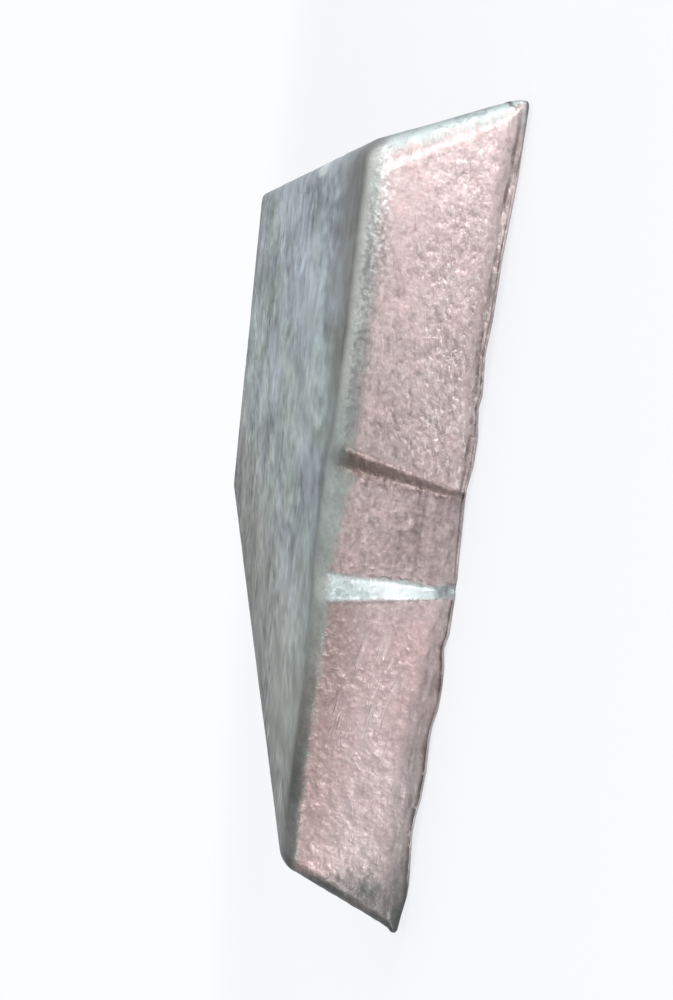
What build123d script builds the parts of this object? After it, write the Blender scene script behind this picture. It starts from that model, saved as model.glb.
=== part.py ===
"""Cast zinc slab ingot, one solid.

The slab lies tipped out of its mould: the wide open-poured face is down on z = 0 and the
smaller mould-floor face is up at z = thickness.
Y runs along the slab's length, X across its width, +Z up, origin at the centre of the base.
All sizes are in millimetres.
"""

import os

from build123d import *

# ---------------------------------------------------------------- driving dimensions
rim_length = 470.0        # overall length, at the open-poured rim (along Y)
rim_width = 222.0         # overall width, at the open-poured rim (along X)
thickness = 36.2          # height of the slab (along Z)

rim_land = 4.5            # upright band round the open rim, where the metal met the air
side_run_in = 12.6        # how far each long side leans in from rim land to mould floor
end_run_in = 7.6          # how far each short end leans in from rim land to mould floor

lip_height = 3.0          # lowest part of that band, which ran out sharp into the mould's corners
lip_corner_r = 2.0        # plan radius of the lip's four corners
rim_corner_r = 5.0        # plan radius of the four upright corners above the lip
floor_corner_r = 9.0      # plan radius of the four upright corners at the mould floor
floor_edge_r = 5.8        # rounding between the mould floor and the walls
base_edge_r = 0.6         # slight rounding of the rim's lower edge

# Shallow recess near the middle of each short end, open to both faces.
notch_offset_rim = 2.95   # how far the recess sits off the slab's centre line at the rim
notch_offset_top = 4.0    # the same at the mould floor: the recess leans a little
notch_floor_rim = 23.9    # width of the recess floor at the rim
notch_floor_top = 30.0    # width of the recess floor at the mould floor
notch_depth_rim = 1.6     # depth behind the end wall at the rim
notch_depth_top = 4.8     # depth behind the end wall at the mould floor
notch_splay = 1.2         # sideways run of each recess wall for each millimetre of depth

os.makedirs("parts", exist_ok=True)

# ---------------------------------------------------------------- derived sizes
floor_width = rim_width - 2 * side_run_in
floor_length = rim_length - 2 * end_run_in

# ---------------------------------------------------------------- what stays behind each recess
# A shorter slab with the same rounded upper edge: its ends are the recess floors.
with BuildPart() as behind_recess:
    with BuildSketch(Plane.XY):
        Rectangle(rim_width, rim_length - 2 * notch_depth_rim)
    extrude(amount=rim_land)
    with BuildSketch(Plane.XY.offset(rim_land)):
        Rectangle(rim_width, rim_length - 2 * notch_depth_rim)
    with BuildSketch(Plane.XY.offset(thickness)):
        Rectangle(rim_width, floor_length - 2 * notch_depth_top)
    loft(ruled=True)
    fillet(
        behind_recess.faces().sort_by(Axis.Z)[-1].edges().filter_by(Axis.X),
        radius=floor_edge_r,
    )

# ---------------------------------------------------------------- the two recesses
with BuildPart() as recesses:
    for side in (-1, 1):
        for z in (-1.0, thickness + 1.0):
            share = z / thickness
            middle = notch_offset_rim + (notch_offset_top - notch_offset_rim) * share
            half = (notch_floor_rim + (notch_floor_top - notch_floor_rim) * share) / 2
            depth = notch_depth_rim + (notch_depth_top - notch_depth_rim) * share
            floor_y = rim_length / 2 - end_run_in * share - depth
            # from well behind the recess floor to well past the end wall
            behind, past = 7.0, depth + 8.0
            with BuildSketch(Plane.XY.offset(z)):
                with BuildLine():
                    Polyline(
                        (middle - half + notch_splay * behind, side * (floor_y - behind)),
                        (middle + half - notch_splay * behind, side * (floor_y - behind)),
                        (middle + half + notch_splay * past, side * (floor_y + past)),
                        (middle - half - notch_splay * past, side * (floor_y + past)),
                        close=True,
                    )
                make_face()
        loft(ruled=True)
    add(behind_recess.part, mode=Mode.SUBTRACT)

# ---------------------------------------------------------------- the ingot
with BuildPart() as ingot:
    # upright rim band
    with BuildSketch(Plane.XY):
        RectangleRounded(rim_width, rim_length, rim_corner_r)
    extrude(amount=rim_land)

    # the lip at its foot, sharper at the corners
    with BuildSketch(Plane.XY):
        RectangleRounded(rim_width, rim_length, lip_corner_r)
    extrude(amount=lip_height)

    # drafted body, from the rim band up to the mould floor
    with BuildSketch(Plane.XY.offset(rim_land)):
        RectangleRounded(rim_width, rim_length, rim_corner_r)
    with BuildSketch(Plane.XY.offset(thickness)):
        RectangleRounded(floor_width, floor_length, floor_corner_r)
    loft(ruled=True)

    # rounding between the mould floor and the walls, as the mould's own corner leaves it
    fillet(ingot.faces().sort_by(Axis.Z)[-1].edges(), radius=floor_edge_r)

    # the two end recesses
    add(recesses.part, mode=Mode.SUBTRACT)

    # slight rounding of the rim's lower edge
    fillet(ingot.faces().sort_by(Axis.Z)[0].edges(), radius=base_edge_r)

ingot.part.label = "ingot"
export_step(ingot.part, "parts/ingot.step")

print("volume mm3", round(ingot.part.volume), "zinc mass kg", round(ingot.part.volume * 7.14e-6, 2))
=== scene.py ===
"""Looks of the cast zinc slab: its as-cast skin, ragged poured rim and finish."""

import math

import bpy
import numpy as np
from mathutils import Matrix, Vector


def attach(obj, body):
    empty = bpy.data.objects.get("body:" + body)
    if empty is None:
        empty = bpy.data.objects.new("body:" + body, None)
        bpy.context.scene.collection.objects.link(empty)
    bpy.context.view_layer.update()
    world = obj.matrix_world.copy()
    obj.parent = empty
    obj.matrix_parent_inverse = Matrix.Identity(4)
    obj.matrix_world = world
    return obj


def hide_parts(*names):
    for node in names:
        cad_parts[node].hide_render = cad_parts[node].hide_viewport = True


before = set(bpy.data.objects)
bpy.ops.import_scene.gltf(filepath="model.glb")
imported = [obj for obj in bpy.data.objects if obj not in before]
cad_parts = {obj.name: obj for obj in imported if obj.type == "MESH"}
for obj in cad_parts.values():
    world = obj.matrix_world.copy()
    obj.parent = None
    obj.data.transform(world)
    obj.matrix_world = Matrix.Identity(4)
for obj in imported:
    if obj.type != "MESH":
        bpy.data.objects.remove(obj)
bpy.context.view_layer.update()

# ------------------------------------------------------------------ sizes, in millimetres
RIM_L, RIM_W, T = 470.0, 222.0, 36.2          # length, width and height over all
LAND, SIDE_IN, END_IN = 4.5, 12.6, 7.6        # upright rim band; lean of the sides and ends
RIM_R, TOP_R, EDGE_R = 5.0, 9.0, 5.8          # plan corners at rim and top; top edge rounding
LIP_H, LIP_R = 3.0, 2.0                       # lip at the rim's foot, sharper at the corners
N_OFF_RIM, N_OFF_TOP = 2.95, 4.0              # end recess: off the centre line
N_HALF_RIM, N_HALF_TOP = 11.95, 15.0          # half width of its floor
N_DEEP_RIM, N_DEEP_TOP = 1.6, 4.8             # depth
N_SPLAY = 1.2                                 # sideways run of its walls for each mm of depth

# Height of the ragged lower edge along the front end, from the -X corner to the +X corner.
FRONT_EDGE = [
    (-111, 2.5), (-105, 1.9), (-99, 1.0), (-95, 0.9), (-87, 1.55), (-79, 2.25), (-74, 2.0),
    (-69, 1.25), (-60, 0.9), (-51, 1.35), (-47, 1.15), (-42, 0.2), (-36, 0.0), (-30, 0.35),
    (-25, 1.25), (-21, 0.35), (-12, 0.35), (-6, 0.0), (0, 0.55), (9, 1.1), (18, 1.75),
    (24, 0.85), (31, 0.8), (39, 1.9), (42, 1.35), (52, 2.3), (60, 1.7), (75, 1.65), (84, 1.2),
    (93, 0.8), (111, 0.8),
]
# Lap line where the lip folds against the wall: place along the front end, height, depth.
FRONT_LAP = [
    (-111, 4.6, 0.35), (-95, 5.4, 0.25), (-70, 6.2, 0.35), (-50, 6.4, 0.3), (-30, 5.2, 0.3),
    (-14, 3.4, 0.1), (3, 2.8, 0.1), (18, 2.5, 0.15), (30, 2.3, 0.45), (52, 2.5, 0.7),
    (80, 2.4, 0.8), (111, 2.3, 0.7),
]


# ------------------------------------------------------------------ noise
class Noise:
    """Gradient noise in three dimensions, the same on every run."""

    def __init__(self, seed):
        rng = np.random.default_rng(seed)
        perm = rng.permutation(256)
        self.perm = np.concatenate([perm, perm, perm])
        g = rng.normal(size=(256, 3))
        self.grad = g / np.linalg.norm(g, axis=1, keepdims=True)

    def __call__(self, p):
        i = np.floor(p).astype(np.int64)
        f = p - i
        i &= 255
        u = f * f * f * (f * (f * 6 - 15) + 10)
        out = np.zeros(len(p))
        for cx in (0, 1):
            wx = u[:, 0] if cx else 1 - u[:, 0]
            hx = self.perm[i[:, 0] + cx]
            for cy in (0, 1):
                wy = u[:, 1] if cy else 1 - u[:, 1]
                hy = self.perm[hx + i[:, 1] + cy]
                for cz in (0, 1):
                    wz = u[:, 2] if cz else 1 - u[:, 2]
                    g = self.grad[self.perm[hy + i[:, 2] + cz] & 255]
                    d = (
                        g[:, 0] * (f[:, 0] - cx)
                        + g[:, 1] * (f[:, 1] - cy)
                        + g[:, 2] * (f[:, 2] - cz)
                    )
                    out += wx * wy * wz * d
        return out * 1.5

    def fbm(self, p, octaves=3, gain=0.5):
        total, amp, norm = np.zeros(len(p)), 1.0, 0.0
        for k in range(octaves):
            total += amp * self(p * 2.0**k + 17.3 * k)
            norm += amp
            amp *= gain
        return total / norm


def smooth(lo, hi, v):
    t = np.clip((v - lo) / (hi - lo), 0, 1)
    return t * t * (3 - 2 * t)


def soft_ramp(t, e):
    """0 below 0, 1 above 1, straight between, with its two corners rounded by e."""
    return 0.5 * (np.sqrt(t * t + e * e) - np.sqrt((t - 1) ** 2 + e * e) + 1)


def graded(lo, hi, count, spacing):
    """count + 1 values from lo to hi, closer together where spacing is small."""
    s = np.linspace(lo, hi, 4001)
    dens = 1.0 / spacing(s)
    c = np.concatenate([[0], np.cumsum((dens[1:] + dens[:-1]) / 2 * np.diff(s))])
    return np.interp(np.linspace(0, c[-1], count + 1), c, s)


# ------------------------------------------------------------------ the slab's mesh
HALF_ARC = 4                       # segments in half of each corner
NX, NY = 244, 252                  # segments round a short and a long side, corners included
CAP_STEP = 1.6


def stations():
    """Rows from the base edge up to the top face: inset on the long sides and on the ends,
    height on each, plan radius."""
    rise = T - LAND
    ax, ay = math.atan(SIDE_IN / rise), math.atan(END_IN / rise)
    dx = EDGE_R * math.tan((math.pi / 2 - ax) / 2)
    dy = EDGE_R * math.tan((math.pi / 2 - ay) / 2)
    rows = [(0.6, 0.6, 0.0, 0.0, LIP_R - 0.4), (0.18, 0.18, 0.18, 0.18, LIP_R - 0.1)]
    for z in np.arange(0.6, LAND + 0.01, 0.557):
        rows.append((0.0, 0.0, z, z, LIP_R + (RIM_R - LIP_R) * float(smooth(2.0, 4.4, z))))
    ztx, zty = T - dx * math.cos(ax), T - dy * math.cos(ay)
    count = 36
    for s in np.linspace(0, 1, count + 1)[1:]:
        zx, zy = LAND + (ztx - LAND) * s, LAND + (zty - LAND) * s
        share = ((zx + zy) / 2 - LAND) / rise
        rows.append(
            (SIDE_IN * (zx - LAND) / rise, END_IN * (zy - LAND) / rise, zx, zy,
             RIM_R + (TOP_R - RIM_R) * share)
        )
    r_wall = rows[-1][4]
    for s in np.linspace(0, 1, 11)[1:]:
        px, py = ax + s * (math.pi / 2 - ax), ay + s * (math.pi / 2 - ay)
        ix = SIDE_IN + dx - EDGE_R * math.cos(px)
        iy = END_IN + dy - EDGE_R * math.cos(py)
        part = (ix - rows[-1][0] + iy - rows[-1][1]) / 2
        rows.append(
            (ix, iy, T - EDGE_R + EDGE_R * math.sin(px), T - EDGE_R + EDGE_R * math.sin(py),
             max(r_wall - (1 - math.cos(s * math.pi / 2)) * 3.7, 3.0))
        )
    return np.array(rows)


def slab():
    rows = stations()
    n_x, n_y = NX - 2 * HALF_ARC, NY - 2 * HALF_ARC
    off0, m0, h0 = 3.4, 17.2, 13.4

    def near_recess(s):
        d = np.abs(np.abs(s - off0) - (m0 + h0) / 2)
        return 0.5 + 0.42 * smooth(3.0, 9.0, d)

    x_ref = graded(-106.0, 106.0, n_x, near_recess)
    y_ref = graded(-1.0, 1.0, n_y, lambda s: 0.7 + 1.5 * smooth(0.0, 0.16, 1 - np.abs(s)))
    arc = np.linspace(0, math.pi / 4, HALF_ARC + 1)
    def run(inset, height):
        """Length along the profile, 0 at the border of the flat top and negative below it."""
        step = np.hypot(np.diff(inset), np.diff(height))
        return np.concatenate([[0], np.cumsum(step)]) - step.sum()

    run_x, run_y = run(rows[:, 0], rows[:, 2]), run(rows[:, 1], rows[:, 3])
    rings, prof, ends, recess, step = [], [], [], [], []
    for (ix, iy, zx, zy, r), px, py in zip(rows, run_x, run_y):
        a, b = RIM_W / 2 - ix, RIM_L / 2 - iy
        lx, ly = a - r, b - r
        share = zy / T
        off = N_OFF_RIM + (N_OFF_TOP - N_OFF_RIM) * share
        half = N_HALF_RIM + (N_HALF_TOP - N_HALF_RIM) * share
        deep = N_DEEP_RIM + (N_DEEP_TOP - N_DEEP_RIM) * min(max(zy - LAND, 0) / (T - LAND), 1)
        mouth = half + N_SPLAY * deep
        ref = [-106, -60, off0 - m0, off0 - h0, off0 + h0, off0 + m0, 60, 106]
        now = [-lx, -60, off - mouth, off - half, off + half, off + mouth, 60, lx]
        xs = np.interp(x_ref, ref, now)
        t = (mouth - np.abs(xs - off)) / (mouth - half)
        sunk = soft_ramp(t, 0.26) * (np.abs(xs - off) < mouth + 12)
        cut = deep * sunk
        wall_of = -np.sign(xs - off) * np.clip(4 * t * (1 - t), 0, 1) ** 0.6
        ys = y_ref * ly

        def corner(sx, sy, a0):
            t = a0 + arc
            return np.c_[sx * lx + r * np.cos(t), sy * ly + r * np.sin(t), np.cos(t) ** 2]

        parts = [
            corner(-1, -1, math.pi * 1.25)[:-1],
            np.c_[xs, -b + cut, np.zeros_like(xs)][:-1],
            corner(1, -1, math.pi * 1.5)[:-1],
            corner(1, -1, math.pi * 1.75)[:-1],
            np.c_[np.full_like(ys, a), ys, np.ones_like(ys)][:-1],
            corner(1, 1, 0.0)[:-1],
            corner(1, 1, math.pi * 0.25)[:-1],
            np.c_[xs[::-1], b - cut[::-1], np.zeros_like(xs)][:-1],
            corner(-1, 1, math.pi * 0.5)[:-1],
            corner(-1, 1, math.pi * 0.75)[:-1],
            np.c_[np.full_like(ys, -a), ys[::-1], np.ones_like(ys)][:-1],
            corner(-1, -1, math.pi)[:-1],
        ]
        q = np.vstack(parts)
        z = zx * q[:, 2] + zy * (1 - q[:, 2])
        rings.append(np.c_[q[:, :2], z])
        prof.append(px * q[:, 2] + py * (1 - q[:, 2]))
        ends.append(1 - q[:, 2])
        none = np.zeros(2 * HALF_ARC + n_y + 2 * HALF_ARC)
        arc0 = np.zeros(HALF_ARC)
        recess.append(np.concatenate([arc0, sunk[:-1], none, sunk[::-1][:-1], none, arc0])[: len(q)])
        step.append(np.concatenate([arc0, wall_of[:-1], none, wall_of[::-1][:-1], none, arc0])[: len(q)])
    count = len(rings[0])
    verts = list(np.vstack(rings))
    a_top, b_top = RIM_W / 2 - rows[-1, 0], RIM_L / 2 - rows[-1, 1]
    cut_top = lambda x: N_DEEP_TOP * soft_ramp(
        (N_HALF_TOP + N_SPLAY * N_DEEP_TOP - np.abs(x - N_OFF_TOP)) / (N_SPLAY * N_DEEP_TOP), 0.26
    )
    faces = []
    i = np.arange(count)
    j = (i + 1) % count
    for k in range(len(rings) - 1):
        lo, hi = k * count, (k + 1) * count
        faces += np.c_[lo + i, lo + j, hi + j, hi + i].tolist()

    def cap(base, up):
        """Closes one face: the ring's points in pairs, then a grid of half as many."""
        ring = np.array(verts[base : base + count])
        even = ring[0::2]
        ahead, behind = np.roll(even, -1, 0), np.roll(even, 1, 0)
        tang = (ahead - behind)[:, :2]
        tang /= np.linalg.norm(tang, axis=1, keepdims=True)
        inner = even.copy()
        inner[:, :2] += np.c_[-tang[:, 1], tang[:, 0]] * CAP_STEP
        gx, gy = NX // 2, NY // 2
        c0 = inner[0 : gx + 1]
        d1 = inner[gx : gx + gy + 1]
        c1 = inner[gx + gy : 2 * gx + gy + 1][::-1]
        d0 = np.vstack([inner[2 * gx + gy :], inner[:1]])[::-1]
        u = ((c0[:, 0] - c0[0, 0]) / (c0[-1, 0] - c0[0, 0]))[None, :, None]
        v = ((d0[:, 1] - d0[0, 1]) / (d0[-1, 1] - d0[0, 1]))[:, None, None]
        grid = (
            (1 - v) * c0[None] + v * c1[None] + (1 - u) * d0[:, None] + u * d1[:, None]
            - ((1 - u) * (1 - v) * c0[0] + u * (1 - v) * c0[-1]
               + (1 - u) * v * c1[0] + u * v * c1[-1])
        )
        first = len(verts)
        flat = grid.reshape(-1, 3)
        verts.extend(flat)
        from_side = a_top - np.abs(flat[:, 0])
        from_end = b_top - np.abs(flat[:, 1]) - cut_top(flat[:, 0])
        prof.append(np.minimum(from_side, from_end) if up else prof[0][0] - 5 + 0 * from_side)
        ends.append(smooth(-8, 8, from_side - from_end))
        recess.append(0 * from_side)
        step.append(0 * from_side)
        at = lambda r, c: first + r * (gx + 1) + c
        edge = (
            [at(0, c) for c in range(gx)]
            + [at(r, gx) for r in range(gy)]
            + [at(gy, c) for c in range(gx, 0, -1)]
            + [at(r, 0) for r in range(gy, 0, -1)]
        )
        found = []
        for r in range(gy):
            for c in range(gx):
                found.append([at(r, c), at(r, c + 1), at(r + 1, c + 1), at(r + 1, c)])
        n = len(edge)
        for t in range(n):
            o0, o1, o2 = base + 2 * t, base + 2 * t + 1, base + (2 * t + 2) % count
            i0, i1 = edge[t], edge[(t + 1) % n]
            found += [[o0, o1, i0], [o1, i1, i0], [o1, o2, i1]]
        if not up:
            found = [f[::-1] for f in found]
        faces.extend(found)

    cap((len(rings) - 1) * count, True)
    cap(0, False)
    masks = {"prof": prof, "ends": ends, "recess": recess, "step": step}
    return np.array(verts), faces, {k: np.concatenate(v) for k, v in masks.items()}


def normals_of(v, faces):
    n = np.zeros_like(v)
    quads = np.array([f for f in faces if len(f) == 4])
    tris = np.array([f for f in faces if len(f) == 3])
    for q, idx in ((quads, ((0, 2), (1, 3))), (tris, ((0, 1), (0, 2)))):
        (a, b), (c, d) = idx
        fn = np.cross(v[q[:, b]] - v[q[:, a]], v[q[:, d]] - v[q[:, c]])
        for k in range(q.shape[1]):
            np.add.at(n, q[:, k], fn)
    return n / np.maximum(np.linalg.norm(n, axis=1, keepdims=True), 1e-9)


def cast_skin(v, n):
    """The slab's relief: what the mould, the pour and handling leave on it."""
    big, mid, fine, edge, lap, pit = (Noise(s) for s in (3, 11, 23, 31, 47, 59))
    x, y, z = v[:, 0], v[:, 1], v[:, 2]
    top = smooth(0.90, 0.995, n[:, 2])
    base = smooth(-0.6, -0.95, n[:, 2])
    wall = 1 - np.clip(top + base, 0, 1)
    front = smooth(0.5, 0.9, -n[:, 1])
    out = v.copy()

    # mould floor: slow hollows and soft ripples, never above the flat
    f_top = 0.34 * big.fbm(v / 85, 2) + 0.13 * mid.fbm(v / np.array([26, 20, 30]), 3)
    f_top -= 0.45
    # walls: slow waviness, then a pebbled skin drawn out across the slab
    f_wall = 0.24 * big.fbm(v / 60 + 5, 2) + 0.13 * mid.fbm(v / 15, 3) - 0.26
    peb = fine(v / np.array([4.6, 2.7, 2.7]))
    crack = np.abs(fine(v / np.array([3.4, 3.0, 3.0]) + 40))
    rough_part = smooth(10, -40, x)
    f_wall += (0.05 + 0.05 * rough_part) * peb
    f_wall -= 0.07 * (1 - smooth(0.0, 0.28, crack)) * rough_part
    f = top * f_top + wall * f_wall

    # lap line round the rim: the wall draws in above it, the lip stands out below it
    lap_x, lap_z, lap_deep = (np.array(c) for c in zip(*FRONT_LAP))
    s_lap = np.where(front > 0.5, np.interp(x, lap_x, lap_z),
                     4.0 + 1.5 * lap(np.c_[x / 45, y / 45, z * 0]))
    amp = np.where(front > 0.5, np.interp(x, lap_x, lap_deep),
                   np.clip(0.35 + 0.6 * lap(np.c_[x / 30 + 9, y / 30, z * 0]), 0.08, 0.8))
    e_edge = np.where(
        y < -RIM_L / 2 + 16,
        np.interp(x, *zip(*FRONT_EDGE)),
        np.clip(1.15 + 1.5 * edge.fbm(np.c_[x / 24, y / 24, z * 0 + 3], 2), 0.0, 2.6),
    )
    up = z - s_lap + 0.5 * edge(np.c_[x / 7, y / 7, z * 0 + 9])
    groove = np.where(up > 0, np.exp(-((up / 1.5) ** 2)), np.exp(-((up / 0.4) ** 2)))
    f -= wall * amp * 0.7 * groove * np.clip(0.8 + 0.8 * edge(np.c_[x / 5, y / 5, z * 0]), 0.2, 1.3)
    # lip: ragged outwards, always inside the slab's own size, full at the corners
    low = 1 - smooth(1.5, 6.0, z)
    rag = 0.5 + 0.6 * edge.fbm(np.c_[x / 20, y / 20, z / 14], 3)
    corner = smooth(22, 6, np.hypot(RIM_W / 2 - np.abs(x), RIM_L / 2 - np.abs(y)))
    f -= wall * low * np.clip(rag, 0.02, 1.4) * (1 - 0.95 * corner)
    f *= 1 - 0.9 * corner * low
    # the crease between the upright band and the leaning wall is worn round
    f -= wall * np.clip(4.7 - np.abs(z - LAND), 0, None) ** 2 / 80 * (1 - corner)
    out += n * f[:, None]

    # lower edge: lifts off the floor unevenly, and the poured face sinks towards the middle
    inside = np.minimum(RIM_W / 2 - np.abs(x), RIM_L / 2 - np.abs(y))
    lift_wall = e_edge * (1 - np.clip(z / 9.0, 0, 1)) ** 2
    lift_base = e_edge * np.exp(-np.clip(inside, 0, None) / 7.0)
    ripple = np.clip(0.55 + 0.9 * mid.fbm(np.c_[x / 34, y / 34, z * 0 + 7], 3), 0, None)
    sink = 1.3 * smooth(18, 80, inside) * (1 + 0.5 * big(np.c_[x / 90, y / 90, z * 0]))
    lift_base += (0.5 * ripple + sink) * smooth(4, 16, inside)
    out[:, 2] += np.where(base > 0.5, lift_base, lift_wall * (1 - top))
    out[:, 2] = np.clip(out[:, 2], 0.0, T)
    out[:, 0] = np.clip(out[:, 0], -RIM_W / 2, RIM_W / 2)
    out[:, 1] = np.clip(out[:, 1], -RIM_L / 2, RIM_L / 2)
    return out, np.where(base > 0.5, -9.0, up), np.where(base > 0.5, 9.0, out[:, 2] - e_edge)


verts, faces, masks = slab()
verts, masks["lap"], masks["lip"] = cast_skin(verts, normals_of(verts, faces))
mesh = bpy.data.meshes.new("zinc_slab")
mesh.from_pydata((verts * 0.001).tolist(), [], faces)
mesh.validate()
mesh.shade_smooth()
for name, values in masks.items():
    mesh.attributes.new(name, "FLOAT", "POINT").data.foreach_set("value", values.astype(np.float32))
ingot = bpy.data.objects.new("zinc_slab", mesh)
bpy.context.scene.collection.objects.link(ingot)
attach(ingot, "root")
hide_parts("ingot")


# ------------------------------------------------------------------ material
def new_material(name):
    m = bpy.data.materials.new(name)
    m.use_nodes = True
    m.node_tree.nodes.clear()
    return m


class Graph:
    """Short-hand for adding and linking shader nodes."""

    def __init__(self, tree):
        self.tree = tree

    def put(self, sock, val):
        if isinstance(val, bpy.types.NodeSocket):
            self.tree.links.new(val, sock)
        else:
            sock.default_value = val

    def add(self, kind, inputs=None, **props):
        node = self.tree.nodes.new(kind)
        for k, val in props.items():
            setattr(node, k, val)
        for k, val in (inputs or {}).items():
            self.put(node.inputs[k], val)
        return node

    def math(self, op, a, b=0.0, clamp=False):
        return self.add("ShaderNodeMath", {0: a, 1: b}, operation=op, use_clamp=clamp).outputs[0]

    def times(self, *values):
        out = values[0]
        for v in values[1:]:
            out = self.math("MULTIPLY", out, v)
        return out

    def plus(self, *values):
        out = values[0]
        for v in values[1:]:
            out = self.math("ADD", out, v)
        return out

    def ramp(self, v, lo, hi, a=0.0, b=1.0):
        return self.add(
            "ShaderNodeMapRange",
            {"Value": v, "From Min": lo, "From Max": hi, "To Min": a, "To Max": b},
            interpolation_type="SMOOTHSTEP",
        ).outputs[0]

    def noise(self, vec, scale, detail=2.0, rough=0.5, distort=0.0):
        return self.add(
            "ShaderNodeTexNoise",
            {"Vector": vec, "Scale": scale, "Detail": detail, "Roughness": rough,
             "Distortion": distort},
        ).outputs["Fac"]

    def cells(self, vec, scale, feature="DISTANCE_TO_EDGE", jitter=1.0):
        return self.add(
            "ShaderNodeTexVoronoi", {"Vector": vec, "Scale": scale, "Randomness": jitter},
            feature=feature,
        ).outputs["Distance"]

    def mix(self, fac, a, b, blend="MIX"):
        node = self.add("ShaderNodeMix", data_type="RGBA", blend_type=blend)
        for k, val in ((0, fac), (6, a), (7, b)):
            self.put(node.inputs[k], val)
        return node.outputs[2]

    def stretch(self, vec, x, y, z):
        return self.add(
            "ShaderNodeVectorMath", {0: vec, 1: (x, y, z)}, operation="MULTIPLY"
        ).outputs[0]

    def shift(self, vec, x, y, z):
        return self.add(
            "ShaderNodeVectorMath", {0: vec, 1: (x, y, z)}, operation="ADD"
        ).outputs[0]

    def ramp_line(self, v, lo, hi, a=0.0, b=1.0):
        return self.add(
            "ShaderNodeMapRange",
            {"Value": v, "From Min": lo, "From Max": hi, "To Min": a, "To Max": b},
        ).outputs[0]

    def stops(self, node, points):
        """Grey steps of a colour ramp, as (place, brightness)."""
        bar = node.color_ramp
        bar.interpolation = "EASE"
        while len(bar.elements) < len(points):
            bar.elements.new(0.5)
        for el, (at, val) in zip(bar.elements, points):
            el.position = at
            el.color = (val, val, val, 1)

    def attr(self, name):
        return self.add("ShaderNodeAttribute", attribute_name=name).outputs["Fac"]


def srgb(r, g, b):
    f = lambda c: (c / 255 / 12.92) if c / 255 <= 0.04045 else ((c / 255 + 0.055) / 1.055) ** 2.4
    return (f(r), f(g), f(b), 1.0)


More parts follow.
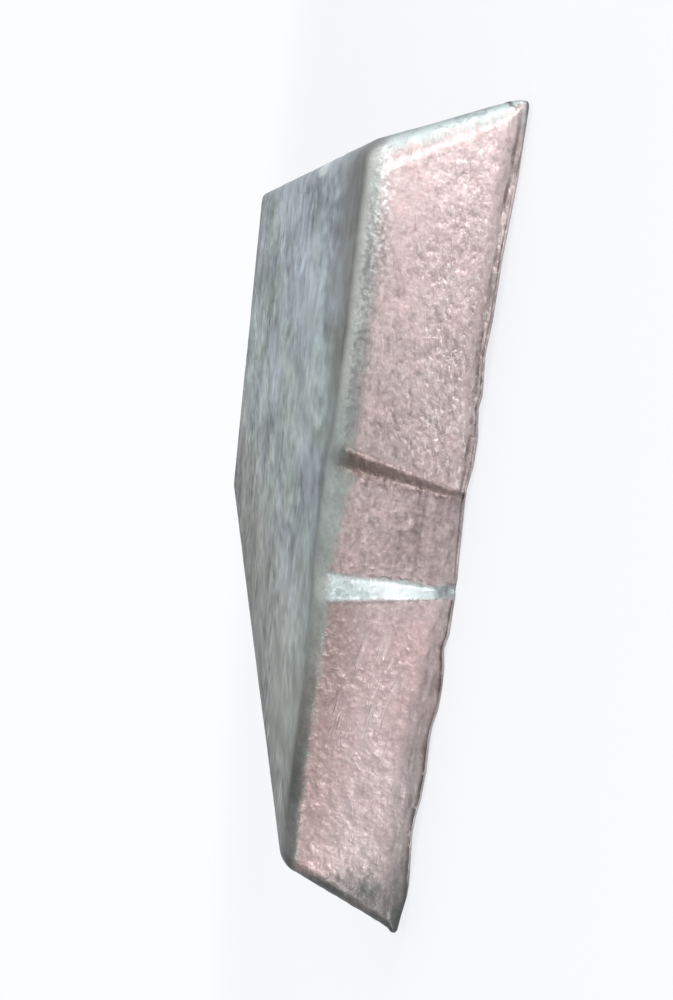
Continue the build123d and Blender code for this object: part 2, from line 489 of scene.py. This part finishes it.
def zinc():
    m = new_material("zinc_as_cast")
    g = Graph(m.node_tree)
    mm = g.stretch(g.add("ShaderNodeTexCoord").outputs["Object"], 1000, 1000, 1000)
    x, y, z = g.add("ShaderNodeSeparateXYZ", {0: mm}).outputs
    prof, ends, lap, lip = g.attr("prof"), g.attr("ends"), g.attr("lap"), g.attr("lip")
    recess = g.attr("recess")
    half = lambda n: g.plus(n, -0.5)
    invert = lambda v: g.math("SUBTRACT", 1.0, v)
    turned = lambda angle, axis: g.add(
        "ShaderNodeVectorRotate", {"Vector": mm, "Axis": axis, "Angle": angle}
    ).outputs[0]

    # patterns, sized in millimetres
    slanted = turned(0.2, (0, 1, 0))
    patch = g.noise(g.shift(mm, 70, 10, 3), 1 / 17, 3, 0.55)
    blot = g.noise(g.shift(mm, -30, 44, 9), 1 / 6.5, 3, 0.6)
    crinkle = g.noise(g.stretch(slanted, 0.62, 1, 1), 1 / 1.55, 2, 0.5)
    dash = g.noise(g.shift(g.stretch(slanted, 0.5, 1, 1), 9, 2, 5), 1 / 0.85, 1, 0.5, 0.5)
    grain = g.noise(mm, 1 / 0.75, 1, 0.5)
    sand = g.noise(g.shift(mm, 21, 4, 60), 1 / 1.2, 1, 0.6)
    dents = g.noise(g.shift(mm, 11, 50, 2), 1 / 2.2, 1, 0.5)
    drag = g.noise(g.stretch(mm, 0.04, 1, 1), 1 / 1.5, 3, 0.6)
    crease = g.noise(g.shift(g.stretch(turned(-0.5, (0, 1, 0)), 0.7, 1, 1), 30, 0, 0), 1 / 4.0, 2, 0.5, 0.15)
    crack = g.times(g.ramp(g.math("ABSOLUTE", half(crease)), 0.07, 0.0), g.ramp(patch, 0.42, 0.58))
    scrape = g.ramp(g.noise(g.stretch(turned(0.12, (0, 1, 0)), 0.09, 1, 1), 1 / 1.0, 1, 0.5), 0.66, 0.74)

    # where each finish lies, with broken borders
    low = g.ramp(x, 0, -30)
    calm = g.plus(g.ramp(x, 30, 85, 1.0, 0.52), g.ramp(x, 88, 98, 0.0, 0.15), g.ramp(x, -28, -50, 0.0, -0.42))
    front = g.ramp(y, -190, -215)
    near = g.ramp(y, 60, -120, 0.45, 1.0)
    m_top = g.ramp(g.plus(prof, g.times(half(patch), 2.0), g.times(g.ramp(x, 5, 70, 0.6, 2.6), front)), -2.4, 2.2)
    m_base = g.ramp(lap, -7.5, -8.5)
    ragged = g.plus(
        prof, g.times(half(blot), 3.0), g.times(half(sand), 4.0), g.ramp(x, 20, -70, 0, -1.2),
        g.times(recess, g.ramp_line(x, -14, 20, -0.5, 2.2)),
    )
    m_wall = g.ramp(ragged, -6.6, -9.8)
    m_end = g.ramp(g.plus(ends, g.times(half(sand), 0.6), g.times(half(blot), 0.5)), 0.42, 0.66)

    # mould floor: softly clouded grey, bluish towards +X and dull towards -X
    flow = g.stretch(mm, 1, 0.42, 1)
    cloud = g.noise(g.shift(flow, 5, 5, 5), 1 / 44, 2, 0.5, 0.4)
    wisp = g.noise(g.shift(flow, 95, 31, 5), 1 / 17, 2, 0.55, 0.3)
    fleck = g.noise(g.shift(flow, 12, 77, 0), 1 / 5.0, 2, 0.5)
    tint = g.noise(g.shift(flow, 200, 0, 0), 1 / 26, 2, 0.5)
    wipe = g.noise(g.stretch(turned(0.06, (0, 0, 1)), 0.11, 1, 1), 1 / 3.4, 3, 0.55)
    frost = g.add(
        "ShaderNodeTexVoronoi",
        {"Vector": g.add("ShaderNodeVectorMath", {0: mm, 1: g.stretch(
            g.add("ShaderNodeTexNoise", {"Vector": mm, "Scale": 1 / 3.0}).outputs["Color"], 3, 3, 3)},
            operation="ADD").outputs[0], "Scale": 1 / 3.2},
    ).outputs["Color"]
    frost = g.add("ShaderNodeSeparateColor", {0: frost}).outputs[0]
    top = g.mix(g.ramp(g.plus(tint, g.times(x, 0.0007)), 0.42, 0.62), srgb(161, 173, 168), srgb(165, 174, 179))
    top = g.mix(g.ramp(x, 0, -70), top, srgb(160, 161, 155))
    top = g.mix(g.ramp(x, -45, -82), top, srgb(138, 139, 134))
    top = g.mix(g.times(g.ramp(x, 10, 75), g.ramp(y, 40, -150), 0.5), top, srgb(163, 172, 184))
    # painted shade: the first ramp in y darkens the mould floor towards the far end
    lum = g.plus(
        1.0, g.ramp(y, -120, 170, 0.06, -0.09), g.times(half(sand), 0.14), g.times(g.ramp(x, 0, 30), g.ramp(x, 90, 60), 0.07), g.times(half(cloud), 0.95),
        g.times(half(wisp), 1.7), g.times(half(fleck), g.ramp(g.noise(g.shift(flow, 7, 40, 9), 1 / 22, 1), 0.38, 0.6, 0.6, 1.9)),
        g.times(half(wipe), 0.5), g.times(half(frost), 0.08),
    )
    top = g.mix(1.0, top, lum, "MULTIPLY")
    bloom = g.times(g.ramp(g.cells(mm, 1 / 15, "F1"), 0.30, 0.10), g.ramp(g.plus(patch, g.ramp(x, -50, -80, 0, 0.06)), 0.54, 0.64))
    top = g.mix(g.times(bloom, 0.6), top, srgb(208, 213, 210))
    scratch = g.ramp(g.noise(g.stretch(turned(0.7, (0, 0, 1)), 0.012, 1, 1), 1 / 1.3, 0, 0.5), 0.73, 0.79)
    scuff = g.ramp(g.noise(g.stretch(turned(-0.35, (0, 0, 1)), 0.02, 1, 1), 1 / 1.1, 0, 0.5), 0.73, 0.79)
    marks = g.times(g.math("MAXIMUM", scratch, scuff), g.ramp(wisp, 0.45, 0.6))
    top = g.mix(g.times(marks, 0.35), top, srgb(206, 211, 214))
    streaky = g.noise(g.shift(g.stretch(turned(0.05, (0, 0, 1)), 0.3, 1, 1), 60, 3, 18), 1 / 4.4, 2, 0.5)
    some = g.ramp(g.noise(g.shift(flow, 31, 8, 2), 1 / 24, 1), 0.42, 0.60)
    top = g.mix(g.times(g.ramp(streaky, 0.53, 0.68), some, g.ramp(y, 120, -80, 0.25, 0.55)), top, srgb(200, 209, 212))
    top = g.mix(g.times(g.ramp(streaky, 0.48, 0.33), some, g.ramp(x, -30, 80, 0.25, 0.55)), top, srgb(116, 124, 137))
    # painted highlight: a small pale spot on the +X top edge near the front end
    edge_glint = g.add("ShaderNodeVectorMath", {0: g.stretch(mm, 0.3, 0.05, 0.2), 1: (96.5 * 0.3, -131 * 0.05, 34 * 0.2)}, operation="DISTANCE").outputs["Value"]
    edge_glint = g.ramp(g.plus(edge_glint, g.times(half(blot), 0.9), g.times(half(grain), 0.6)), 1.0, 0.55)
    # painted shade: a dark band on the mould floor at its border, widest towards +X, weaker at the far end and towards
    # -X
    reach = g.plus(12.0, g.ramp(x, 0, 90, 0, 46), g.times(half(patch), 18), g.times(half(wipe), 14))
    far_up = g.ramp(x, 30, 60)
    in_from = g.plus(g.times(prof, invert(far_up)), g.times(g.math("SUBTRACT", 222.8, g.math("ABSOLUTE", y)), far_up))
    shade = g.plus(
        g.times(g.ramp(g.math("DIVIDE", in_from, reach), 1.0, 0.1), 0.50),
        g.times(g.ramp(g.plus(in_from, g.times(half(wisp), 60)), 60, 8), 0.20),
    )
    shade = g.times(shade, g.math("MAXIMUM", g.ramp(ends, 0.2, 0.9, 0.25, 1), far_up), g.ramp(x, -60, 5, 0.3, 1), near)
    top = g.mix(shade, top, g.mix(g.ramp(x, 10, 70), srgb(98, 107, 99), srgb(101, 95, 82)))

    # rounding of the mould floor's edge: painted light and shade on it, paler above towards +X where the light falls
    # and dark towards -X, grained towards the wall
    edge_falloff = g.add("ShaderNodeValToRGB", {"Fac": g.ramp_line(x, -111, 111)})
    bar = edge_falloff.color_ramp
    bar.interpolation = "EASE"
    steps = [(0.0, (90, 95, 95)), (0.17, (112, 114, 111)), (0.31, (122, 117, 111)), (0.43, (152, 159, 154)),
             (0.60, (163, 171, 167)), (0.78, (186, 188, 183)), (1.0, (206, 208, 204))]
    while len(bar.elements) < len(steps):
        bar.elements.new(0.5)
    for el, (at, c) in zip(bar.elements, steps):
        el.position, el.color = at, srgb(*c)
    edge = g.mix(g.ramp(patch, 0.3, 0.7, 0.0, 0.35), edge_falloff.outputs[0], srgb(196, 199, 194))
    edge = g.mix(1.0, edge, g.plus(
        1.0, g.times(half(fleck), 0.3), g.times(half(grain), 0.3), g.times(half(blot), 0.35), g.times(half(crinkle), 0.3)), "MULTIPLY")
    # painted shade: brown on the upper part of the ends' rounding towards +X, running on from the dark band on the
    # mould floor
    brown = g.times(g.ramp(g.plus(prof, g.times(half(blot), 3.0)), -5.2, -1.2), g.ramp(x, 5, 70), 0.24)
    edge = g.mix(brown, edge, srgb(112, 108, 98))
    seam = g.times(g.ramp(prof, -3.6, -6.6), g.ramp(prof, -12.5, -9.0))
    shiny = g.ramp(x, -10, 60, 0.15, 1)
    plain = g.mix(0.35, top, srgb(178, 183, 183))
    # painted shade: the long sides' rounding is darkened towards -X
    plain = g.mix(g.times(g.ramp(x, -60, -90), g.ramp(patch, 0.35, 0.6, 0.35, 0.8)), plain, srgb(104, 107, 104))
    edge = g.mix(g.ramp(ends, 0.75, 0.3), edge, plain)

    # walls: rosy on the ends, a painted reflection of a pinkish surround, plain grey on the long sides
    rosy = g.mix(g.ramp(patch, 0.36, 0.64), srgb(203, 184, 183), srgb(217, 198, 197))
    rosy = g.mix(g.ramp(blot, 0.52, 0.70, 0, 0.45), rosy, srgb(224, 194, 192))
    warm = g.times(g.ramp(x, -62, -40), g.ramp(x, -8, -26), g.ramp(g.plus(z, g.times(half(patch), 30)), 26, 8))
    rosy = g.mix(g.times(warm, 0.5), rosy, srgb(226, 190, 188))
    rosy = g.mix(g.ramp(x, -60, -100, 0.0, 0.4), rosy, srgb(206, 194, 193))
    # painted light: the end wall's colour is paler towards +X, where the light falls, and darker towards -X
    falloff_tone = g.add("ShaderNodeValToRGB", {"Fac": g.ramp_line(x, -111, 111)})
    g.stops(falloff_tone, [(0.0, 0.68), (0.12, 0.70), (0.33, 0.77), (0.42, 0.83), (0.52, 0.78), (0.62, 0.79), (0.75, 0.82), (0.92, 0.86)])
    rosy = g.mix(1.0, rosy, falloff_tone.outputs[0], "MULTIPLY")
    where = g.times(
        g.ramp(g.plus(z, g.times(half(patch), 20)), 27, 12), g.ramp(x, -2, 25),
        g.ramp(x, 108, 84), g.ramp(recess, 0.3, 0.0),
    )
    rosy = g.mix(1.0, rosy, g.plus(
        1.0, g.times(half(crinkle), calm, g.plus(0.40, g.times(low, -0.25), g.times(where, 0.25))), g.times(half(grain), 0.24), g.times(half(sand), calm, g.plus(0.60, g.times(low, -0.2))),
        g.times(half(dents), g.plus(0.15, g.times(low, 0.25)))), "MULTIPLY")
    rosy = g.mix(g.times(g.ramp(sand, 0.60, 0.76), calm, 0.26), rosy, srgb(242, 229, 227))
    rosy = g.mix(g.times(g.ramp(crinkle, 0.46, 0.30), calm, g.plus(0.25, g.times(low, -0.20))), rosy, srgb(120, 102, 100))
    rosy = g.mix(g.times(crack, low, 0.10), rosy, srgb(126, 108, 106))
    rubbed = g.times(g.ramp(x, -18, -27), g.ramp(x, -62, -44), g.ramp(z, 9, 15), g.ramp(z, 33, 27))
    scraped = g.times(g.ramp(g.noise(g.shift(g.stretch(turned(-0.16, (0, 1, 0)), 0.17, 1, 1), 5, 17, 3), 1 / 2.1, 2, 0.5), 0.50, 0.70), rubbed)
    rosy = g.mix(g.times(scrape, g.ramp(patch, 0.48, 0.6), g.plus(0.36, g.times(low, -0.22))), rosy, srgb(236, 218, 216))
    rosy = g.mix(g.times(scraped, 0.36), rosy, srgb(236, 220, 218))
    # painted shade: the end wall just below its rounding is darkened towards -X
    rosy = g.mix(g.times(g.ramp(g.plus(prof, g.times(half(patch), 8)), -23, -8), g.ramp(x, 10, -25), 0.72), rosy, srgb(142, 119, 115))
    glint = g.times(g.ramp(dash, 0.56, 0.68), g.plus(g.times(where, 0.8), 0.2))
    rosy = g.mix(g.times(glint, calm, 0.6), rosy, srgb(248, 236, 233))
    side = g.mix(g.ramp(tint, 0.40, 0.62), srgb(164, 173, 172), srgb(172, 178, 184))
    side = g.mix(1.0, side, g.plus(
        1.0, g.times(half(patch), 0.6), g.times(half(blot), 0.35), g.times(half(crinkle), 0.3),
        g.times(half(grain), 0.25)), "MULTIPLY")
    side = g.mix(1.0, side, g.ramp(x, 60, 95, 1.0, 0.78), "MULTIPLY")
    # painted highlight on the rounding of the +X front corner, broken up by noise
    corner_highlight = g.times(g.ramp(ends, 0.04, 0.2), g.ramp(x, 80, 95), front, g.ramp(z, 1, 4))
    side = g.mix(g.times(corner_highlight, g.ramp(g.plus(blot, g.times(half(sand), 0.6)), 0.28, 0.52, 0.15, 0.95)), side, srgb(206, 216, 215))
    wall = g.mix(m_end, side, rosy)
    in_x = g.plus(111.0 + LAND * SIDE_IN / (T - LAND), g.times(z, -SIDE_IN / (T - LAND)), g.times(x, -1.0))
    # painted highlight: a pale band on the walls close to the +X front corner
    corner_highlight_band = g.times(
        g.ramp(g.plus(in_x, g.times(half(blot), 7), g.times(half(sand), 5)), 6.4, 3.0), front,
        g.ramp(g.plus(blot, g.times(half(sand), 0.5)), 0.34, 0.56, 0.3, 0.9), g.ramp(z, 3, 6),
    )
    wall = g.mix(corner_highlight_band, wall, srgb(188, 200, 198))

    col = g.mix(m_wall, edge, wall)
    col = g.mix(g.times(seam, g.ramp(ends, 0.4, 0.8), g.ramp(sand, 0.53, 0.36), g.ramp(x, 100, 75), g.ramp(x, 10, 60), 0.42), col, srgb(118, 124, 123))
    col = g.mix(g.times(seam, g.ramp(ends, 0.2, 0.6), g.ramp(sand, 0.52, 0.68), g.ramp(x, 40, 95, 0.06, 1.0), g.ramp(recess, 0.25, 0.0), front, 0.7), col, srgb(228, 235, 234))
    # a darker dip where the ends' rounding meets the end wall
    dark_dip = g.plus(prof, g.times(half(blot), 3.0), g.times(half(sand), 3.0))
    dark_dip = g.times(g.ramp(dark_dip, -5.2, -7.0), g.ramp(dark_dip, -10.6, -8.6), g.ramp(x, 92, 66), g.ramp(x, 2, 26), g.ramp(ends, 0.4, 0.8))
    col = g.mix(g.times(dark_dip, g.ramp(patch, 0.34, 0.6, 0.25, 0.55)), col, srgb(124, 126, 123))
    col = g.mix(m_top, col, top)
    col = g.mix(g.times(edge_glint, 0.9), col, srgb(226, 234, 235))

    # recess: mauve floor with drawn lines, a painted shadow on the step towards +X and a painted highlight on the one
    # towards -X
    inside = g.times(g.ramp(recess, 0.0, 0.25), m_wall)
    towards_rim = g.ramp(g.plus(z, g.times(half(patch), 14)), 22, 11)
    drawn = g.times(g.ramp(drag, 0.46, 0.34), towards_rim, 0.24)
    streak = g.noise(g.shift(g.stretch(mm, 0.07, 1, 1), 4, 9, 70), 1 / 2.3, 2, 0.6)
    floor_in = g.times(recess, m_wall)
    col = g.mix(g.times(floor_in, 0.35), col, srgb(176, 156, 155))
    col = g.mix(g.times(floor_in, g.ramp(blot, 0.42, 0.62), towards_rim, 0.5), col, srgb(146, 131, 133))
    col = g.mix(g.times(floor_in, drawn), col, srgb(112, 97, 97))
    col = g.mix(floor_in, col, g.mix(1.0, col, g.plus(
        1.0, g.times(half(streak), g.plus(0.12, g.times(towards_rim, 0.75))), g.times(half(sand), 0.55),
        g.times(half(dents), 0.4)), "MULTIPLY"))
    deep = g.ramp_line(z, LAND, T, N_DEEP_RIM * N_SPLAY, N_DEEP_TOP * N_SPLAY)
    slope = (N_OFF_TOP - N_OFF_RIM) / T
    lean = (N_HALF_TOP - N_HALF_RIM) / T
    u_hi = g.plus(N_OFF_RIM + N_HALF_RIM, g.times(z, slope + lean), g.times(x, -1.0))
    u_lo = g.plus(x, N_HALF_RIM - N_OFF_RIM, g.times(z, lean - slope))
    t_hi, t_lo = (g.math("DIVIDE", g.times(u, -1.0), deep) for u in (u_hi, u_lo))
    body = g.times(g.ramp(z, 34.5, 30.5), g.ramp(g.math("ABSOLUTE", y), 215, 220), invert(m_base))
    # painted shadow on the recess's step towards +X, which faces -X
    step_shadow = g.times(
        g.ramp(g.plus(u_hi, g.times(half(blot), 3.0), g.times(half(sand), 3.0)), 3.4, -1.4),
        g.ramp(g.plus(t_hi, g.times(half(sand), 0.5)), 1.22, 0.80), body,
    )
    col = g.mix(g.times(step_shadow, g.ramp(z, 6, 30, 0.62, 0.78)), col, srgb(104, 88, 80))
    # painted shade on that step's outer edge, carrying its painted shadow over the edge
    step_edge_shadow = g.times(g.ramp(g.math("ABSOLUTE", g.plus(t_hi, -1.1)), 0.30, 0.08), body, g.ramp(u_hi, 6.0, 2.0))
    col = g.mix(g.times(step_edge_shadow, 0.5), col, srgb(126, 108, 102))
    # painted highlight on the recess's step towards -X, which faces +X, palest in its middle
    step_highlight = g.times(
        g.ramp(g.plus(u_lo, g.times(half(blot), 4.4), g.times(half(sand), 2.4)), 1.9, 0.3),
        g.ramp(g.plus(t_lo, g.times(half(crinkle), 0.5), g.times(half(blot), 0.5)), 1.20, 0.96), body,
    )
    highlight_core = g.times(g.ramp(g.plus(z, g.times(half(blot), 26)), 29, 16), g.ramp(g.plus(z, g.times(half(blot), 14)), 3, 15))
    bright = g.mix(highlight_core, srgb(158, 170, 169), srgb(198, 206, 206))
    bright = g.mix(g.times(g.ramp(sand, 0.54, 0.68), 0.4), bright, srgb(216, 222, 222))
    bright = g.mix(g.times(g.ramp(crinkle, 0.54, 0.36), invert(g.times(highlight_core, 0.75)), 0.5), bright, srgb(118, 127, 127))
    col = g.mix(g.times(step_highlight, 0.94), col, bright)
    fringe = g.times(
        g.ramp(g.math("ABSOLUTE", g.plus(u_lo, -1.6, g.times(half(blot), 4.4), g.times(half(crinkle), 2.0))), 0.55, 0.05),
        g.ramp(g.noise(g.shift(mm, 3, 8, 1), 1 / 3.0, 1), 0.46, 0.58), body, g.ramp(z, 26, 16),
    )
    col = g.mix(g.times(fringe, 0.65), col, srgb(92, 92, 92))
    lower = g.times(g.ramp(g.math("ABSOLUTE", g.plus(t_lo, -1.14, g.times(half(sand), 0.3))), 0.26, 0.04), body, g.ramp(blot, 0.36, 0.56, 0.3, 1))
    col = g.mix(g.times(lower, 0.6), col, srgb(118, 117, 116))

    # rim: band with painted shade and its own specks, dark lap line, dark foot
    dry = g.ramp(recess, 0.0, 0.4, 1.0, 0.25)
    band = g.times(g.ramp(g.plus(lap, g.times(half(blot), 4.0), g.times(half(crinkle), 2.0), g.ramp(x, 0, 40, 0.0, 0.6)), 2.2, -0.8), invert(m_base))
    # painted shade: the rim band above the lap is darkened where its wall draws in and faces down; the specks below are
    # its own
    col = g.mix(g.times(band, g.ramp(x, 20, -40, 0.26, 0.52)), col, srgb(140, 136, 135))
    motley = g.noise(g.shift(g.stretch(mm, 0.22, 1, 1), 40, 3, 8), 1 / 1.5, 3, 0.6)
    col = g.mix(g.times(band, g.ramp(motley, 0.50, 0.34), 0.42), col, srgb(92, 84, 82))
    col = g.mix(g.times(band, g.ramp(motley, 0.56, 0.68), 0.45), col, srgb(214, 204, 202))
    tip = g.times(g.ramp(x, 101, 108), front, g.ramp(lap, 0.6, -0.8), g.ramp(blot, 0.3, 0.55, 0.35, 0.7), invert(m_base))
    col = g.mix(tip, col, srgb(200, 208, 206))
    line = g.times(g.ramp(lap, 0.9, 0.1), g.ramp(lap, -0.8, -0.2), g.ramp(blot, 0.36, 0.6, 0.15, 0.85), dry)
    col = g.mix(g.times(line, g.ramp(x, -10, 35, 0.12, 0.9)), col, srgb(80, 71, 68))
    foot = g.times(g.ramp(g.plus(lip, g.times(half(blot), 1.6), g.times(half(crinkle), 0.8)), g.ramp(x, 5, -40, 1.0, 1.9), g.ramp(x, 5, -40, 0.1, 0.6)), g.ramp(patch, 0.36, 0.56, 0.5, 1))
    col = g.mix(g.times(foot, 0.8), col, srgb(60, 55, 53))
    chips = g.times(g.ramp(lip, 2.8, 1.0), g.ramp(dash, 0.60, 0.70), g.ramp(x, 20, -20, 0.3, 1), g.ramp(blot, 0.45, 0.6))
    col = g.mix(g.times(chips, 0.3), col, srgb(236, 233, 231))
    # darker at the -X front corner, widest at the rim
    off_edge = g.plus(x, 111.0 + 4.5 * SIDE_IN / (T - LAND), g.times(z, -SIDE_IN / (T - LAND)))
    wide = g.ramp(z, 33, 2, 5.4, 31.0)
    dark_corner = g.times(
        g.ramp(g.math("DIVIDE", g.plus(off_edge, g.times(half(blot), 6), g.times(half(sand), 4)), wide), 1.0, 0.25),
        g.ramp(prof, -3, -7), front,
    )
    col = g.mix(g.times(dark_corner, g.ramp(blot, 0.35, 0.6, 0.92, 0.72)), col, srgb(82, 86, 84))

    # poured face underneath: pale, frosted, wrinkled towards the rim
    under = g.mix(g.ramp(tint, 0.4, 0.6), srgb(176, 182, 184), srgb(186, 189, 195))
    under = g.mix(1.0, under, g.plus(
        1.0, g.times(half(patch), 0.4), g.times(half(frost), 0.12), g.times(half(blot), 0.25)), "MULTIPLY")
    col = g.mix(m_base, col, under)

    # relief too fine for the mesh, in millimetres
    h_wall = g.plus(
        g.times(half(sand), calm, 0.055), g.times(half(dents), calm, g.plus(0.08, g.times(low, 0.17))),
        g.times(half(crinkle), calm, g.plus(0.11, g.times(low, -0.05), g.times(where, 0.36))), g.times(half(grain), 0.02),
        g.times(half(blot), calm, g.plus(0.14, g.times(low, 0.16))), g.times(half(dash), 0.04, where),
        g.times(crack, -0.025, low), g.times(scrape, g.plus(0.05, g.times(low, -0.03))), g.times(scraped, 0.20),
        g.times(half(drag), 0.07, g.plus(g.times(recess, 0.8), 0.1)),
        g.times(recess, g.plus(g.times(half(streak), 0.12), g.times(half(sand), 0.06), g.times(half(dents), 0.10))),
    )
    h_top = g.plus(g.times(half(blot), 0.12), g.times(half(fleck), 0.05), g.times(half(grain), 0.012), g.times(half(wipe), 0.05), g.times(marks, -0.03))
    h_edge = g.plus(g.times(half(blot), 0.12), g.times(half(grain), 0.03), g.times(half(crinkle), 0.07), g.times(half(sand), 0.08, seam))
    h_wall = g.times(h_wall, invert(g.times(step_highlight, 0.55)))
    mixf = lambda f, a, b: g.plus(g.times(a, invert(f)), g.times(b, f))
    height = mixf(m_top, mixf(m_wall, h_edge, h_wall), h_top)
    bump = g.add("ShaderNodeBump", {"Height": height, "Distance": 0.001, "Strength": 1.0})

    rough = g.plus(
        0.43, g.times(half(blot), 0.2), g.times(half(crinkle), 0.2), g.times(m_top, 0.07),
        g.times(half(frost), 0.06), g.times(glint, -0.08),
    )
    bsdf = g.add(
        "ShaderNodeBsdfPrincipled",
        {"Base Color": col, "Metallic": 0.8, "Roughness": rough, "Normal": bump.outputs[0],
         "Specular Tint": (0.55, 0.56, 0.57, 1.0)},
    )
    g.add("ShaderNodeOutputMaterial", {"Surface": bsdf.outputs[0]})
    return m


mesh.materials.append(zinc())

# ------------------------------------------------------------------ floor, light, camera
floor_mesh = bpy.data.meshes.new("floor")
floor_mesh.from_pydata([(-9, -9, 0), (9, -9, 0), (9, 9, 0), (-9, 9, 0)], [], [(0, 1, 2, 3)])
floor = bpy.data.objects.new("floor", floor_mesh)
bpy.context.scene.collection.objects.link(floor)
fm = new_material("floor_paper")
fg = Graph(fm.node_tree)
far = fg.add(
    "ShaderNodeVectorMath", {0: fg.add("ShaderNodeTexCoord").outputs["Object"]}, operation="LENGTH"
).outputs["Value"]
fb = fg.add(
    "ShaderNodeBsdfPrincipled",
    {"Base Color": fg.mix(fg.ramp(far, 0.3, 0.9), (0.22, 0.222, 0.225, 1), (0.0, 0.0, 0.0, 1)),
     "Roughness": 1.0, "Specular IOR Level": 0.0,
     "Emission Color": (0.972, 0.982, 1.0, 1), "Emission Strength": fg.ramp(far, 0.3, 0.9, 0.76, 1.0)},
)
fg.add("ShaderNodeOutputMaterial", {"Surface": fb.outputs[0]})
floor_mesh.materials.append(fm)

world = bpy.data.worlds.new("studio")
bpy.context.scene.world = world
world.use_nodes = True
world.node_tree.nodes.clear()
wg = Graph(world.node_tree)
dx, dy, dz = wg.add(
    "ShaderNodeSeparateXYZ", {0: wg.add("ShaderNodeTexCoord").outputs["Generated"]}
).outputs
across = wg.plus(
    wg.ramp(dx, -0.95, 0.0, 0.2, 0.80), wg.ramp(dx, -0.3, 0.3, 0.0, 0.18),
    wg.ramp(dx, 0.3, 0.85, 0.0, 0.24),
)
behind = wg.times(wg.ramp(dy, 0.2, 0.7), wg.ramp(dz, 0.65, 0.3))
beside = wg.math(
    "MAXIMUM", wg.times(wg.ramp(dy, -0.5, -0.1), wg.ramp(dz, 0.35, 0.12)),
    wg.times(wg.ramp(dy, -0.75, -0.5), wg.ramp(dz, 0.2, 0.13)),
)
beside = wg.times(beside, wg.ramp(dx, -0.3, -0.7))
behind = wg.math("MAXIMUM", wg.math("MAXIMUM", behind, beside), wg.ramp(dz, 0.10, 0.05))
level = wg.plus(wg.times(across, wg.math("SUBTRACT", 1.0, behind)), behind)
dim = wg.times(wg.ramp(dy, -0.3, -0.7), wg.ramp(dz, 0.08, 0.2), wg.ramp(dz, 0.8, 0.5))
level = wg.times(level, wg.math("SUBTRACT", 1.0, wg.times(dim, 0.50)))
bg = wg.add("ShaderNodeBackground", {"Color": (0.972, 0.982, 1.0, 1), "Strength": level})
wg.add("ShaderNodeOutputWorld", {"Surface": bg.outputs[0]})


def area(name, at, aim, size, power, colour=(1, 1, 1)):
    light = bpy.data.lights.new(name, "AREA")
    light.shape = "RECTANGLE"
    light.size, light.size_y = size
    light.energy = power
    light.color = colour
    o = bpy.data.objects.new(name, light)
    o.location = at
    o.rotation_euler = (Vector(aim) - Vector(at)).to_track_quat("-Z", "Y").to_euler()
    o.visible_camera = False
    bpy.context.scene.collection.objects.link(o)
    return o


area("key", (0.80, -0.46, 0.22), (0.0, -0.22, 0.02), (0.75, 0.36), 1.8)
area("front", (0.37, -0.94, 0.26), (0.05, -0.23, 0.02), (0.22, 0.17), 1.95)
area("front_low", (-0.56, -0.76, 0.30), (-0.06, -0.23, 0.02), (0.18, 0.15), 1.4)

cam_data = bpy.data.cameras.new("camera")
cam = bpy.data.objects.new("camera", cam_data)
bpy.context.scene.collection.objects.link(cam)
cam_data.sensor_fit = "AUTO"
cam_data.sensor_width = 36.0
cam_data.lens = 37.833
cam_data.clip_start = 0.005
right, up, back = (
    Vector((0.118997, -0.123565, -0.985176)),
    Vector((0.964342, 0.250621, 0.085047)),
    Vector((0.236397, -0.960167, 0.148982)),
)
place = Matrix((right, up, back)).transposed().to_4x4()
place.translation = Vector((0.074088, -0.484612, 0.073028))
cam.matrix_world = place
bpy.context.scene.camera = cam
bpy.context.scene.view_settings.view_transform = "Standard"
